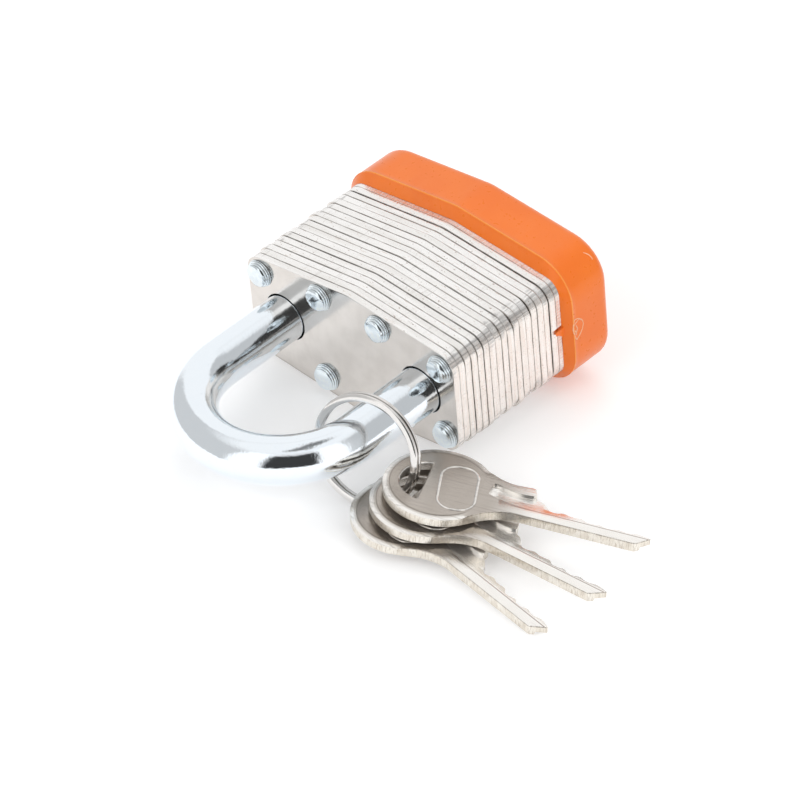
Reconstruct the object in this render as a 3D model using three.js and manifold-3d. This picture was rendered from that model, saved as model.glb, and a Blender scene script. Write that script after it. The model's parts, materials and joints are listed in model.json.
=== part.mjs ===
// A laminated padlock lying on its side, with a split ring and three keys on its shackle.
// Millimetres. The part rests on z = 0 with +Z up, the shackle points to -Y and the keyway to +Y.
// Inside the lock: x runs across the two legs, y from the shackle end to the keyway end, z through
// the thickness. The lock leans nose down, because its bumper stands proud of the laminations.
import * as THREE from 'three';
import { mergeVertices } from 'three/addons/utils/BufferGeometryUtils.js';
import Module from 'manifold-3d';

const wasm = await Module();
wasm.setup();

// ---- Driving dimensions -------------------------------------------------------------------------
const running = 0.15;              // gap between pieces that slide or turn on each other
const seated = 0.1;                // gap between pieces that are fixed to each other
const weld = 1e-4;

const bodyWidth = 40;              // across the end faces
const endHeight = 16.6;            // thickness at the end faces
const ridgeHeight = 20.6;          // thickness at the ridge in the middle of each broad face
const bodyCorner = 2.6;            // corner radius of a lamination
const laminationPitch = 1.24;
const laminationGap = 0.08;
const visibleLaminations = 18;     // between the shackle end and the bumper's rim
const coveredLaminations = 3;      // inside the bumper, before the end plate
const endPlateThickness = 2.2;

const bumperWall = 1.95;           // over the broad faces
const bumperSideWall = 1.5;        // over the end faces
const bumperDepth = 8.8;           // from the rim to the rear face
const bumperOverlap = 0.4;         // of the rim over the last visible lamination
const bumperRimBevel = 0.85;       // how far the rim's face slopes back
const bumperEdge = 1.6;            // rounding of the rear edge
const bumperCorner = 6.2;
const keyholeRadius = 6.4;         // opening in the bumper around the plug

const rivetShank = 1.2;
const rivetHead = 2.15;
const rivetDome = 1.3;             // height of a domed head at the shackle end
const rivetRim = 0.55;             // height of that head's cylindrical rim
const rivetTail = 0.8;             // height of the flattened head at the keyway end
const rivetTailRadius = 1.72;
const rivetSide = 2.5;             // of the outer rivets, from the end faces
const rivetInset = 2.65;           // of the outer rivets, from the broad faces
const rivetInnerInset = 3.1;       // of the inner rivets, from the ridges
const rivetWeb = 0.62;             // between the inner rivets' bores and the cylinder

const legSpacing = 26.5;           // between the two leg axes
const legRadius = 3.58;
const legReach = 13.06;            // straight length of each leg outside the body
const legClearance = 0.15;         // of the legs in their bores
const toeDepth = 9.3;              // inserted length of the short leg
const notchDepth = 1.5;            // of the cuts that the locking dogs enter
const notchSlack = 0.35;           // along the leg, on each side of a dog's nose
const shackleLift = 10;            // how far the shackle rises when it is let go
const heelFlange = 1.6;            // retaining collar at the end of the long leg
const shackleSpringRadius = 2.4;
const shackleSpringWire = 0.6;

const dogPlates = [4, 5];          // laminations that hold the locking dogs
const camPlates = [6, 7];          // laminations that hold the cam
const cylinderPlates = [8, 20];    // laminations cut out for the cylinder
const dogTravel = 1.6;
const dogEngagement = 1.2;         // of a nose in its notch when locked
const dogHalfWidth = 4.4;
const dogArm = [0.5, 2.3];         // where an arm lies to one side of the middle
const dogSpacing = 0.27;           // between one dog's lug and the other's nose block
const dogLug = 1.2;                // length of the lug that the cam pushes
const dogSpringRadius = 0.65;
const dogSpringWire = 0.4;
const dogSpringPlace = 3.35;
const camLong = 3.3;
const camShort = 1.7;
const camThickness = 1.1;
const camClearance = 0.25;         // between the cam's end and a lug
const tailSquare = 2.2;            // square tail of the plug, which drives the cam

const plugX = -1;                  // the plug's axis, set towards the long leg
const plugRadius = 4.95;
const plugNeck = 2.2;
const housingWall = 1.6;
const housingHalfWidth = 2.7;      // of the block that holds the driver pins
const housingReach = 13.6;         // that block's end, from the plug's axis
const pinPitch = 3;
const pinInset = 2.4;              // first pin, from the housing's front face
const pinRadius = 1.1;
const driverLength = 3;
const pinSpringRadius = 0.85;
const pinSpringWire = 0.35;
const pinSpringEnd = 0.9;          // material left behind the pin springs
const keyPinLengths = [3.0, 2.4, 3.3, 2.7];
const clipThickness = 0.6;
const clipLip = 0.8;               // how far the clip reaches over the housing, past the plug

const ringRadius = 7.9;            // to the middle of the wire
const ringWire = [1.15, 0.7];      // radial and axial size of the wire
const ringPitch = 0.8;             // between its two turns
const ringStep = 16;               // half the angle in which one turn steps over to the other, in degrees
const ringSlack = 0.85;            // gap between the ring and the leg that it hangs on
const ringPastBend = 1.42;         // where its plane crosses the leg's axis, past the straight length
const ringYaw = 11.6;              // degrees
const ringLean = -11.5;
const ringJoin = 150;              // where the two ends meet, around the ring

const keyThickness = 1.5;
const keyGap = 0.4;                // between two keys at their bows
const bowRadius = 7.8;
const bowSpineTurn = 50;            // where the round bow ends towards the uncut edge, in degrees
const bowLugTurn = 47;              // and towards the lug
const bladeEnd = 30.3;             // tip, from the bow's centre
const bladeSpine = -2.3;           // uncut edge
const tipBevel = 1.9;
const lugTop = 4.15;
const lugSpan = [9.6, 12.5];
const shoulderTop = 2.2;           // the step between the lug and the first cut
const shoulderEnd = 14.4;
const millBand = [-0.2, 2.25];     // the milled groove's edges
const millStart = 7;
const millDepth = 0.45;
const keyHoleRadius = 4.27;
const keyHoleCentre = -1.29;
const keyHoleChord = -2;
const bitting = [0.35, 0.43, -0.29, -0.53, -0.3];   // the cuts' floors, from the key's axis
const bittingStart = 16.25;
const bittingPitch = 2.65;
const bittingFlat = 0.9;
const bittingRise = 0.57;          // of the crest between two cuts over their mean
// Where the ring's wire passes through each key, the key's heading and its dip, in degrees.
const keyPlaces = [
  { name: 'key_lower', wire: [-3.55, 1.1], yaw: -7.1, dip: 3.5 },
  { name: 'key_middle', wire: [-3.69, 0.76], yaw: 7.8, dip: 4.6 },
  { name: 'key_upper', wire: [-3.86, 0.57], yaw: 26.7, dip: 5.7 },
];

// ---- Sizes that follow from them ----------------------------------------------------------------
const legX = legSpacing / 2;
const slope = Math.atan((ridgeHeight - endHeight) / bodyWidth);
const visibleEnd = visibleLaminations * laminationPitch;
const rimY = visibleEnd - bumperOverlap;
const endPlateY = visibleEnd + coveredLaminations * laminationPitch;
const stackEnd = endPlateY + endPlateThickness;
const lean = Math.atan(bumperWall / Math.cos(slope) / (rimY + bumperRimBevel));
const plateStart = (index) => index * laminationPitch;
const plateEnd = (index) => (index + 1) * laminationPitch - laminationGap;
const boreRadius = legRadius + legClearance;
const dogY0 = plateStart(dogPlates[0]) + seated;
const dogY1 = plateEnd(dogPlates[1]) - seated;
const camY0 = plateStart(camPlates[0]) + seated;
const housingY0 = plateStart(cylinderPlates[0]) + clipThickness + 3 * seated;
const housingY1 = plateEnd(cylinderPlates[1]);
const plugEnd = stackEnd - seated;
const neckY = [dogY0 + shackleLift - notchSlack, dogY1 + shackleLift + notchSlack];
const heelDepth = neckY[1] + heelFlange;
const noseRest = legX - legRadius - (dogTravel - dogEngagement);
const lugEnd = camLong + camClearance + dogLug;
const noseBack = Math.abs(plugX) + lugEnd + dogSpacing;
const shearLine = plugRadius + running;
const housingRadius = shearLine + housingWall;
const rivetOuter = [bodyWidth / 2 - rivetSide, endHeight / 2 + rivetSide * Math.tan(slope) - rivetInset];
const rivetInnerZ = ridgeHeight / 2 - rivetInnerInset;
const rivetInner = [
  Math.abs(plugX) + Math.sqrt((housingRadius + rivetWeb + rivetShank + seated) ** 2 - rivetInnerZ ** 2),
  rivetInnerZ,
];

// ---- Helpers ------------------------------------------------------------------------------------
const radians = THREE.MathUtils.degToRad;

function toSolid(geometry) {
  const bare = geometry.clone();
  bare.deleteAttribute('normal');
  bare.deleteAttribute('uv');
  const merged = mergeVertices(bare, weld);
  return new wasm.Manifold(new wasm.Mesh({
    numProp: 3,
    vertProperties: merged.attributes.position.array,
    triVerts: Uint32Array.from(merged.index.array),
  }));
}

function toGeometry(solid) {
  const mesh = solid.getMesh();
  const geometry = new THREE.BufferGeometry();
  geometry.setAttribute('position', new THREE.BufferAttribute(mesh.vertProperties, 3));
  geometry.setIndex(new THREE.BufferAttribute(mesh.triVerts, 1));
  geometry.computeVertexNormals();
  return geometry;
}

function cut(solid, cutters) {
  return cutters.reduce((left, cutter) => left.subtract(cutter), solid);
}

function join(solids) {
  return solids.reduce((whole, solid) => whole.add(solid));
}

// A polygon round a circle, so that a bore keeps its full radius between its corners.
function around(radius, sides) {
  return radius / Math.cos(Math.PI / sides);
}

// A straight prism along y, whose outline is drawn in x and z.
function slab(shape, y0, y1, curveSegments = 2) {
  const geometry = new THREE.ExtrudeGeometry(shape, { depth: y1 - y0, bevelEnabled: false, curveSegments });
  geometry.rotateX(Math.PI / 2);
  geometry.translate(0, y1, 0);
  return toSolid(geometry);
}

function rod(radius, y0, y1, sides, x = 0, z = 0) {
  const geometry = new THREE.CylinderGeometry(radius, radius, y1 - y0, sides);
  geometry.translate(x, (y0 + y1) / 2, z);
  return toSolid(geometry);
}

function block(x, y, z) {
  const geometry = new THREE.BoxGeometry(x[1] - x[0], y[1] - y[0], z[1] - z[0]);
  geometry.translate((x[0] + x[1]) / 2, (y[0] + y[1]) / 2, (z[0] + z[1]) / 2);
  return toSolid(geometry);
}

// A closed outline with an arc of its own radius at each corner, run counterclockwise.
function roundedShape(corners) {
  const shape = new THREE.Shape();
  corners.forEach(([x, y, radius], index) => {
    const corner = new THREE.Vector2(x, y);
    const before = new THREE.Vector2(...corners.at(index - 1)).sub(corner).normalize();
    const after = new THREE.Vector2(...corners[(index + 1) % corners.length]).sub(corner).normalize();
    const half = Math.acos(THREE.MathUtils.clamp(before.dot(after), -1, 1)) / 2;
    if (radius > 0) {
      const bisector = before.clone().add(after).normalize();
      const centre = bisector.multiplyScalar(radius / Math.sin(half)).add(corner);
      const start = before.multiplyScalar(radius / Math.tan(half)).add(corner).sub(centre);
      const end = after.multiplyScalar(radius / Math.tan(half)).add(corner).sub(centre);
      const clockwise = start.cross(end) < 0;
      shape.absarc(centre.x, centre.y, radius, start.angle(), end.angle(), clockwise);
    } else if (index === 0) {
      shape.moveTo(x, y);
    } else {
      shape.lineTo(x, y);
    }
  });
  return shape;
}

// The six-sided outline of the body, grown outwards by a wall on its broad faces and one on its ends.
function bodyShape(wall, sideWall, corner) {
  const halfWidth = bodyWidth / 2 + sideWall;
  const ridge = ridgeHeight / 2 + wall / Math.cos(slope);
  const end = ridge - halfWidth * Math.tan(slope);
  return roundedShape([
    [halfWidth, -end, corner], [halfWidth, end, corner], [0, ridge, 0],
    [-halfWidth, end, corner], [-halfWidth, -end, corner], [0, -ridge, 0],
  ]);
}

class Coil extends THREE.Curve {
  constructor(radius, pitch, turns) {
    super();
    Object.assign(this, { radius, pitch, turns });
  }

  getPoint(t, target = new THREE.Vector3()) {
    const angle = t * this.turns * 2 * Math.PI;
    const along = this.pitch * this.turns * t;
    return target.set(this.radius * Math.cos(angle), along, this.radius * Math.sin(angle));
  }
}

// A coil along y from 0 to its length, wound from round wire.
function coil(radius, wire, length, turns, stepsPerTurn) {
  const section = new THREE.Shape();
  section.absarc(0, 0, wire / 2, 0, 2 * Math.PI);
  const geometry = new THREE.ExtrudeGeometry(section, {
    steps: turns * stepsPerTurn,
    extrudePath: new Coil(radius, (length - wire) / turns, turns),
    curveSegments: 3,
  });
  geometry.translate(0, wire / 2, 0);
  return geometry;
}

const model = new THREE.Group();
const lock = new THREE.Group();
model.add(lock);

function addPiece(parent, name, geometry, finish) {
  const mesh = new THREE.Mesh(geometry, new THREE.MeshStandardMaterial(finish));
  mesh.name = name;
  parent.add(mesh);
  return mesh;
}

const zincPlate = { color: 0xdedad6, roughness: 0.35, metalness: 0.9 };
const zincRivet = { color: 0xc9d3d6, roughness: 0.3, metalness: 0.9 };
const chrome = { color: 0xf0f2f4, roughness: 0.06, metalness: 1 };
const orangeVinyl = { color: 0xee7a30, roughness: 0.3, metalness: 0 };
const nickelKey = { color: 0xb8aea3, roughness: 0.3, metalness: 1 };
const springSteel = { color: 0xc8c8c8, roughness: 0.25, metalness: 1 };
const brass = { color: 0xc9a14a, roughness: 0.35, metalness: 1 };
const hardenedSteel = { color: 0x8d8f92, roughness: 0.45, metalness: 1 };

// ---- Laminated body -----------------------------------------------------------------------------
const boreSides = 12;
const frontBoreSides = 24;
const rivetBoreSides = 6;
const beyond = 1;                  // how far a cutter runs past what it cuts

const rivetPlaces = [];
for (const [x, z] of [rivetOuter, rivetInner]) {
  for (const [sx, sz] of [[-1, 1], [1, 1], [-1, -1], [1, -1]]) {
    rivetPlaces.push([sx * x, sz * z]);
  }
}
const rivetBore = around(rivetShank + seated, rivetBoreSides);
const rivetCutters = rivetPlaces.map(([x, z]) => (
  rod(rivetBore, -beyond, stackEnd + beyond, rivetBoreSides, x, z)
));

function legCutters(sides, toeEnd) {
  const radius = around(boreRadius, sides);
  return [
    rod(radius, -beyond, endPlateY - laminationGap / 2, sides, -legX),
    rod(radius, -beyond, toeEnd, sides, legX),
  ];
}

function housingShape(grow) {
  const radius = housingRadius + grow;
  const side = housingHalfWidth + grow;
  const meet = Math.asin(side / radius);
  const shape = new THREE.Shape();
  shape.absarc(plugX, 0, radius, meet, 2 * Math.PI - meet);
  shape.lineTo(plugX + housingReach + grow, -side);
  shape.lineTo(plugX + housingReach + grow, side);
  return shape;
}

const toeBoreEnd = plateEnd(camPlates[1]) + laminationGap / 2;
const pocketClearance = 0.3;
const dogPocket = block(
  [-legX, legX],
  [plateStart(dogPlates[0]) - laminationGap / 2, plateEnd(dogPlates[1]) + laminationGap / 2],
  [-dogHalfWidth - pocketClearance, dogHalfWidth + pocketClearance],
);
const camPocket = block(
  [plugX - lugEnd - pocketClearance, plugX + lugEnd + pocketClearance],
  [plateStart(camPlates[0]) - laminationGap / 2, toeBoreEnd],
  [-dogHalfWidth, dogHalfWidth],
);
const cylinderPocket = slab(
  housingShape(seated), plateStart(cylinderPlates[0]) - laminationGap / 2, endPlateY - laminationGap / 2, 6,
);
const plugOpening = rod(around(plugRadius + running, 24), endPlateY - beyond, stackEnd + beyond, 24, plugX);
const innerPockets = [dogPocket, camPocket, cylinderPocket];
const innerCutters = [...rivetCutters, ...legCutters(boreSides, toeBoreEnd), ...innerPockets];

for (let index = 0; index < visibleLaminations + coveredLaminations; index += 1) {
  const plate = slab(bodyShape(0, 0, bodyCorner), plateStart(index), plateEnd(index));
  const cutters = index === 0 ? [...rivetCutters, ...legCutters(frontBoreSides, toeBoreEnd)] : innerCutters;
  const name = index === 0 ? 'front_lamination' : `lamination_${String(index + 1).padStart(2, '0')}`;
  addPiece(lock, name, toGeometry(cut(plate, cutters)), zincPlate);
}
const endPlate = slab(bodyShape(0, 0, bodyCorner), endPlateY, stackEnd);
addPiece(lock, 'end_plate', toGeometry(cut(endPlate, [...rivetCutters, plugOpening])), zincPlate);

// ---- Rivets -------------------------------------------------------------------------------------
function rivetGeometry() {
  const profile = [new THREE.Vector2(0, -rivetDome - seated)];
  const domeSteps = 2;
  for (let step = 1; step <= domeSteps; step += 1) {
    const angle = (step / domeSteps) * Math.PI / 2;
    const y = -rivetRim - (rivetDome - rivetRim) * Math.cos(angle) - seated;
    profile.push(new THREE.Vector2(rivetHead * Math.sin(angle), y));
  }
  profile.push(new THREE.Vector2(rivetHead, -seated));
  profile.push(new THREE.Vector2(rivetShank, -seated));
  profile.push(new THREE.Vector2(rivetShank, stackEnd + seated));
  profile.push(new THREE.Vector2(rivetHead, stackEnd + seated));
  profile.push(new THREE.Vector2(rivetTailRadius, stackEnd + seated + rivetTail));
  profile.push(new THREE.Vector2(0, stackEnd + seated + rivetTail));
  return new THREE.LatheGeometry(profile, 10);
}

rivetPlaces.forEach(([x, z], index) => {
  const rivet = addPiece(lock, `rivet_${index + 1}`, rivetGeometry(), zincRivet);
  rivet.position.set(x, 0, z);
});

// ---- Bumper -------------------------------------------------------------------------------------
function bumperSolid() {
  const rear = rimY + bumperDepth;
  const outer = new THREE.ExtrudeGeometry(bodyShape(bumperWall, bumperSideWall, bumperCorner), {
    depth: bumperDepth, bevelThickness: bumperEdge, bevelSize: bumperEdge, bevelOffset: -bumperEdge,
    bevelSegments: 3, curveSegments: 3,
  });
  outer.rotateX(Math.PI / 2);
  outer.translate(0, rear - bumperEdge, 0);
  // Its front end slopes from the body's own outline out to the full wall.
  const rim = new THREE.ExtrudeGeometry(bodyShape(0, 0, bodyCorner), {
    depth: bumperDepth,
    bevelThickness: bumperRimBevel,
    bevelSize: bumperWall,
    bevelSegments: 1,
    curveSegments: 3,
  });
  rim.rotateX(-Math.PI / 2);
  rim.translate(0, rimY + bumperRimBevel, 0);
  const cavityEnd = stackEnd + 2 * seated + rivetTail + seated;
  const cavity = slab(bodyShape(seated, seated, bodyCorner + seated), rimY - beyond, cavityEnd);
  const keyhole = rod(keyholeRadius, rimY, rear + beyond, 32, plugX);
  return cut(toSolid(outer).intersect(toSolid(rim)), [cavity, keyhole]);
}
addPiece(lock, 'bumper', toGeometry(bumperSolid()), orangeVinyl);

// ---- Shackle ------------------------------------------------------------------------------------
const bendSteps = 18;

// Its parameter runs in equal steps: one for each leg, and the rest for the bend.
class ShacklePath extends THREE.Curve {
  getPoint(t, target = new THREE.Vector3()) {
    const step = t * (bendSteps + 2);
    if (step < 1) {
      return target.set(legX, toeDepth - step * (toeDepth + legReach), 0);
    }
    if (step > bendSteps + 1) {
      return target.set(-legX, (step - bendSteps - 1) * (heelDepth + legReach) - legReach, 0);
    }
    const angle = (step - 1) / bendSteps * Math.PI;
    return target.set(legX * Math.cos(angle), -legReach - legX * Math.sin(angle), 0);
  }

  getPointAt(u, target) {
    return this.getPoint(u, target);
  }

  getTangentAt(u, target) {
    return this.getTangent(u, target);
  }
}

function shackleSolid() {
  const section = new THREE.Shape();
  section.absarc(0, 0, legRadius, 0, 2 * Math.PI);
  const bar = toSolid(new THREE.ExtrudeGeometry(section, {
    steps: bendSteps + 2, extrudePath: new ShacklePath(), curveSegments: 9,
  }));
  const deep = [-2 * legRadius, 2 * legRadius];
  const notchY = [dogY0 - notchSlack, dogY1 + notchSlack];
  const flat = legX - legRadius + notchDepth;
  const toeNotch = block([0, flat], notchY, deep);
  const heelNotch = block([-flat, 0], notchY, deep);
  const neck = rod(2 * legRadius, neckY[0], neckY[1], 16, -legX)
    .subtract(rod(legRadius - notchDepth, neckY[0] - beyond, neckY[1] + beyond, 16, -legX));
  return cut(bar, [toeNotch, heelNotch, neck]);
}
addPiece(lock, 'shackle', toGeometry(shackleSolid()), chrome);

const shackleSpringLength = endPlateY - laminationGap - heelDepth - 2 * seated;
const shackleCoil = coil(shackleSpringRadius, shackleSpringWire, shackleSpringLength, 4, 10);
const shackleSpring = addPiece(lock, 'shackle_spring', shackleCoil, springSteel);
shackleSpring.position.set(-legX, heelDepth + seated, 0);

// ---- Locking dogs, their spring and the cam -----------------------------------------------------
// Drawn for a dog on the +x side, whose arm reaches across the cam to a lug on the far side.
function dogSolid(camX) {
  const span = [dogY0, dogY1];
  const nose = block([noseBack, noseRest], span, [-dogHalfWidth, dogHalfWidth]);
  const armEnd = camX - lugEnd;
  const arm = block([armEnd, (noseBack + noseRest) / 2], span, [-dogArm[1], -dogArm[0]]);
  const lug = block([armEnd, armEnd + dogLug], [dogY0, camY0 + camThickness], [-dogArm[1], -dogArm[0]]);
  return join([nose, arm, lug]);
}
addPiece(lock, 'toe_locking_dog', toGeometry(dogSolid(plugX)), hardenedSteel);
const heelDog = addPiece(lock, 'heel_locking_dog', toGeometry(dogSolid(-plugX)), hardenedSteel);
heelDog.rotation.y = Math.PI;

const dogSpring = coil(dogSpringRadius, dogSpringWire, 2 * noseBack - 2 * seated, 7, 6);
dogSpring.rotateZ(-Math.PI / 2);
const dogSpringPiece = addPiece(lock, 'dog_spring', dogSpring, springSteel);
dogSpringPiece.position.set(-noseBack + seated, (dogY0 + dogY1) / 2, dogSpringPlace);

const plugGroup = new THREE.Group();
plugGroup.position.x = plugX;
lock.add(plugGroup);

function camSolid() {
  const oval = new THREE.Shape();
  oval.absellipse(0, 0, camLong, camShort, 0, 2 * Math.PI);
  const half = tailSquare / 2 + seated;
  const socket = block([-half, half], [camY0 - beyond, camY0 + camThickness + beyond], [-half, half]);
  return slab(oval, camY0, camY0 + camThickness, 12).subtract(socket);
}
addPiece(plugGroup, 'locking_cam', toGeometry(camSolid()), hardenedSteel);

// ---- Cylinder -----------------------------------------------------------------------------------
const pinPlaces = keyPinLengths.map((_, index) => housingY0 + pinInset + index * pinPitch);
const chamberRadius = pinRadius + running;
const keywayWidth = keyThickness + 2 * running;
const keywayFloor = -3.9;

function radialRod(radius, from, to, sides, y, turned) {
  const solid = new THREE.CylinderGeometry(radius, radius, to - from, sides);
  solid.translate(0, (from + to) / 2, 0);
  if (turned) {
    solid.rotateX(Math.PI / 2);
  } else {
    solid.rotateZ(-Math.PI / 2);
  }
  solid.translate(0, y, 0);
  return toSolid(solid);
}

function housingSolid() {
  const springEnd = housingReach - pinSpringEnd;
  const chambers = pinPlaces.map((y) => radialRod(around(chamberRadius, 10), 0, springEnd, 10, y, false));
  const bore = rod(around(shearLine, 24), housingY0 - beyond, housingY1 + beyond, 24);
  const shape = slab(housingShape(0), housingY0, housingY1, 6).translate([-plugX, 0, 0]);
  return cut(shape, [bore, ...chambers]);
}
const housing = addPiece(lock, 'cylinder_housing', toGeometry(housingSolid()), brass);
housing.position.x = plugX;

function plugSolid() {
  const half = tailSquare / 2;
  const front = housingY0 + seated;
  const tail = block([-half, half], [camY0, front + beyond], [-half, half]);
  const neckEnd = camY0 + camThickness + seated;
  const neck = rod(plugNeck, neckEnd, front + beyond, 16);
  const barrel = join([rod(plugRadius, front, plugEnd, 24), neck, tail]);
  const wide = [-keywayWidth / 2, keywayWidth / 2];
  const keyway = block(wide, [front + 1.2, plugEnd + beyond], [keywayFloor, -keywayFloor / 2]);
  const chamber = around(chamberRadius, 10);
  const chambers = pinPlaces.map((y) => radialRod(chamber, 0, 2 * plugRadius, 10, y, true));
  return cut(barrel, [keyway, ...chambers]);
}
addPiece(plugGroup, 'plug', toGeometry(plugSolid()), brass);

function clipSolid() {
  const y0 = housingY0 - clipThickness - seated;
  const ring = rod(shearLine + clipLip, y0, y0 + clipThickness, 20);
  const hole = rod(around(plugNeck + seated, 16), y0 - beyond, y0 + clipThickness + beyond, 16);
  const mouth = block([-1.5, 1.5], [y0 - beyond, y0 + clipThickness + beyond], [-2 * shearLine, 0]);
  return cut(ring, [hole, mouth]);
}
addPiece(plugGroup, 'plug_clip', toGeometry(clipSolid()), springSteel);

pinPlaces.forEach((y, index) => {
  const pinEnd = plugRadius - seated;
  const keyPin = radialRod(pinRadius, pinEnd - keyPinLengths[index], pinEnd, 8, y, true);
  addPiece(plugGroup, `key_pin_${index + 1}`, toGeometry(keyPin), brass);
  const driverEnd = shearLine + seated + driverLength;
  const driver = radialRod(pinRadius, shearLine + seated, driverEnd, 8, y, false);
  const driverPin = addPiece(lock, `driver_pin_${index + 1}`, toGeometry(driver), hardenedSteel);
  driverPin.position.x = plugX;
  const springLength = housingReach - pinSpringEnd - driverEnd - 2 * seated;
  const pinSpring = coil(pinSpringRadius, pinSpringWire, springLength, 4, 6);
  pinSpring.rotateZ(-Math.PI / 2);
  const springPiece = addPiece(lock, `pin_spring_${index + 1}`, pinSpring, springSteel);
  springPiece.position.set(plugX + driverEnd + seated, y, 0);
});

// ---- Key ring and keys --------------------------------------------------------------------------
// Two turns side by side. The wire steps from one to the other where its two ends meet.
class SplitRing extends THREE.Curve {
  getPoint(t, target = new THREE.Vector3()) {
    const step = radians(ringStep);
    const turned = step + t * (4 * Math.PI - 2 * step);
    const stepped = THREE.MathUtils.smoothstep(turned, 2 * Math.PI - step, 2 * Math.PI + step);
    const axial = ringPitch * (stepped - 0.5);
    const angle = turned + radians(ringJoin);
    return target.set(ringRadius * Math.cos(angle), axial, ringRadius * Math.sin(angle));
  }
}

const ringSection = new THREE.Shape();
ringSection.absellipse(0, 0, ringWire[1] / 2, ringWire[0] / 2, 0, 2 * Math.PI);
const ring = addPiece(model, 'split_ring', new THREE.ExtrudeGeometry(ringSection, {
  steps: 52, extrudePath: new SplitRing(), curveSegments: 3,
}), springSteel);

// It stands on the ground, or hangs below the leg when it is too small to reach it. The leg that
// passes through it lies near its inner edge.
const ringAlong = legReach + ringPastBend;
const legHeight = (ridgeHeight / 2) * Math.cos(lean) - ringAlong * Math.sin(lean);
const groundHeight = (ringRadius + ringWire[0] / 2) * Math.cos(radians(ringLean))
  + ((ringPitch + ringWire[1]) / 2) * Math.sin(radians(-ringLean)) + running;
const ringFromLeg = ringRadius - ringWire[0] / 2 - legRadius - ringSlack;
const ringDrop = Math.min(legHeight - groundHeight, ringFromLeg);
const ringHeight = legHeight - ringDrop;
const ringAside = Math.sqrt(ringFromLeg ** 2 - ringDrop ** 2);
ring.position.set(
  legX + ringAside * Math.cos(radians(ringYaw)),
  -ringAlong * Math.cos(lean) + ringAside * Math.sin(radians(ringYaw)),
  ringHeight,
);
ring.rotation.set(radians(ringLean), 0, radians(ringYaw), 'ZYX');
ring.updateMatrixWorld();

function keyOutline() {
  const shape = new THREE.Shape();
  const lower = new THREE.Vector2(bowRadius, 0).rotateAround(new THREE.Vector2(), -radians(bowSpineTurn));
  const upper = new THREE.Vector2(bowRadius, 0).rotateAround(new THREE.Vector2(), radians(bowLugTurn));
  shape.absarc(0, 0, bowRadius, upper.angle(), lower.angle());
  shape.quadraticCurveTo(bowRadius, bladeSpine - 0.3, bowRadius + 3.7, bladeSpine);
  shape.lineTo(bladeEnd - tipBevel, bladeSpine);
  shape.lineTo(bladeEnd, bladeSpine + tipBevel);
  for (let index = bitting.length - 1; index >= 0; index -= 1) {
    const middle = bittingStart + index * bittingPitch;
    const next = bitting[index + 1] ?? bitting[index];
    shape.lineTo(middle + bittingPitch / 2, (bitting[index] + next) / 2 + bittingRise);
    shape.lineTo(middle + bittingFlat / 2, bitting[index]);
    shape.lineTo(middle - bittingFlat / 2, bitting[index]);
  }
  shape.lineTo(shoulderEnd, shoulderTop - 0.2);
  shape.lineTo(lugSpan[1] + 0.9, shoulderTop + 0.1);
  shape.lineTo(lugSpan[1] + 0.3, lugTop - 0.1);
  shape.lineTo(lugSpan[0] + 0.4, lugTop - 0.35);
  shape.quadraticCurveTo(bowRadius - 0.4, lugTop - 0.2, upper.x, upper.y);
  const chordHalf = Math.acos((keyHoleChord - keyHoleCentre) / keyHoleRadius);
  const hole = new THREE.Path();
  hole.absarc(keyHoleCentre, 0, keyHoleRadius, chordHalf, 2 * Math.PI - chordHalf);
  shape.holes.push(hole);
  return shape;
}

// The key lies in x and y with its bow's centre at the origin and its blade along +x.
function keySolid() {
  const blank = new THREE.ExtrudeGeometry(keyOutline(), {
    depth: keyThickness, bevelEnabled: false, curveSegments: 10,
  });
  blank.translate(0, 0, -keyThickness / 2);
  const face = [keyThickness / 2 - millDepth, keyThickness];
  const groove = block([millStart, bladeEnd + beyond], millBand, face);
  return toSolid(blank).subtract(groove);
}

// The lowest key touches the ground with its tip, and the next ones lie on it.
const lowestBow = keyThickness / 2 + bladeEnd * Math.sin(radians(keyPlaces[0].dip)) + running;
keyPlaces.forEach(({ name, wire, yaw, dip }, index) => {
  const key = addPiece(model, name, toGeometry(keySolid()), nickelKey);
  key.geometry.translate(-wire[0], -wire[1], 0);
  const height = lowestBow + index * (keyThickness + keyGap) - wire[0] * Math.sin(radians(dip));
  const onRing = Math.asin((height - ringHeight) / (ringRadius * Math.cos(radians(ringLean))));
  key.position.set(ringRadius * Math.cos(onRing), 0, ringRadius * Math.sin(onRing));
  ring.localToWorld(key.position);
  key.rotation.set(0, radians(dip), radians(yaw), 'ZYX');
});

// ---- Standing the part on the ground ------------------------------------------------------------
lock.rotation.x = lean;
lock.position.z = (ridgeHeight / 2) * Math.cos(lean);
model.updateMatrixWorld(true);
const reach = new THREE.Box3().setFromObject(model, true);
const middle = reach.getCenter(new THREE.Vector3());
model.position.set(-middle.x, -middle.y, -reach.min.z);

export default model;
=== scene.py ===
import json
import random
from math import acos, atan, atan2, copysign, cos, exp, hypot, pi, radians, sin, tan

import bmesh
import bpy
from mathutils import Matrix, Vector, noise


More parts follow.
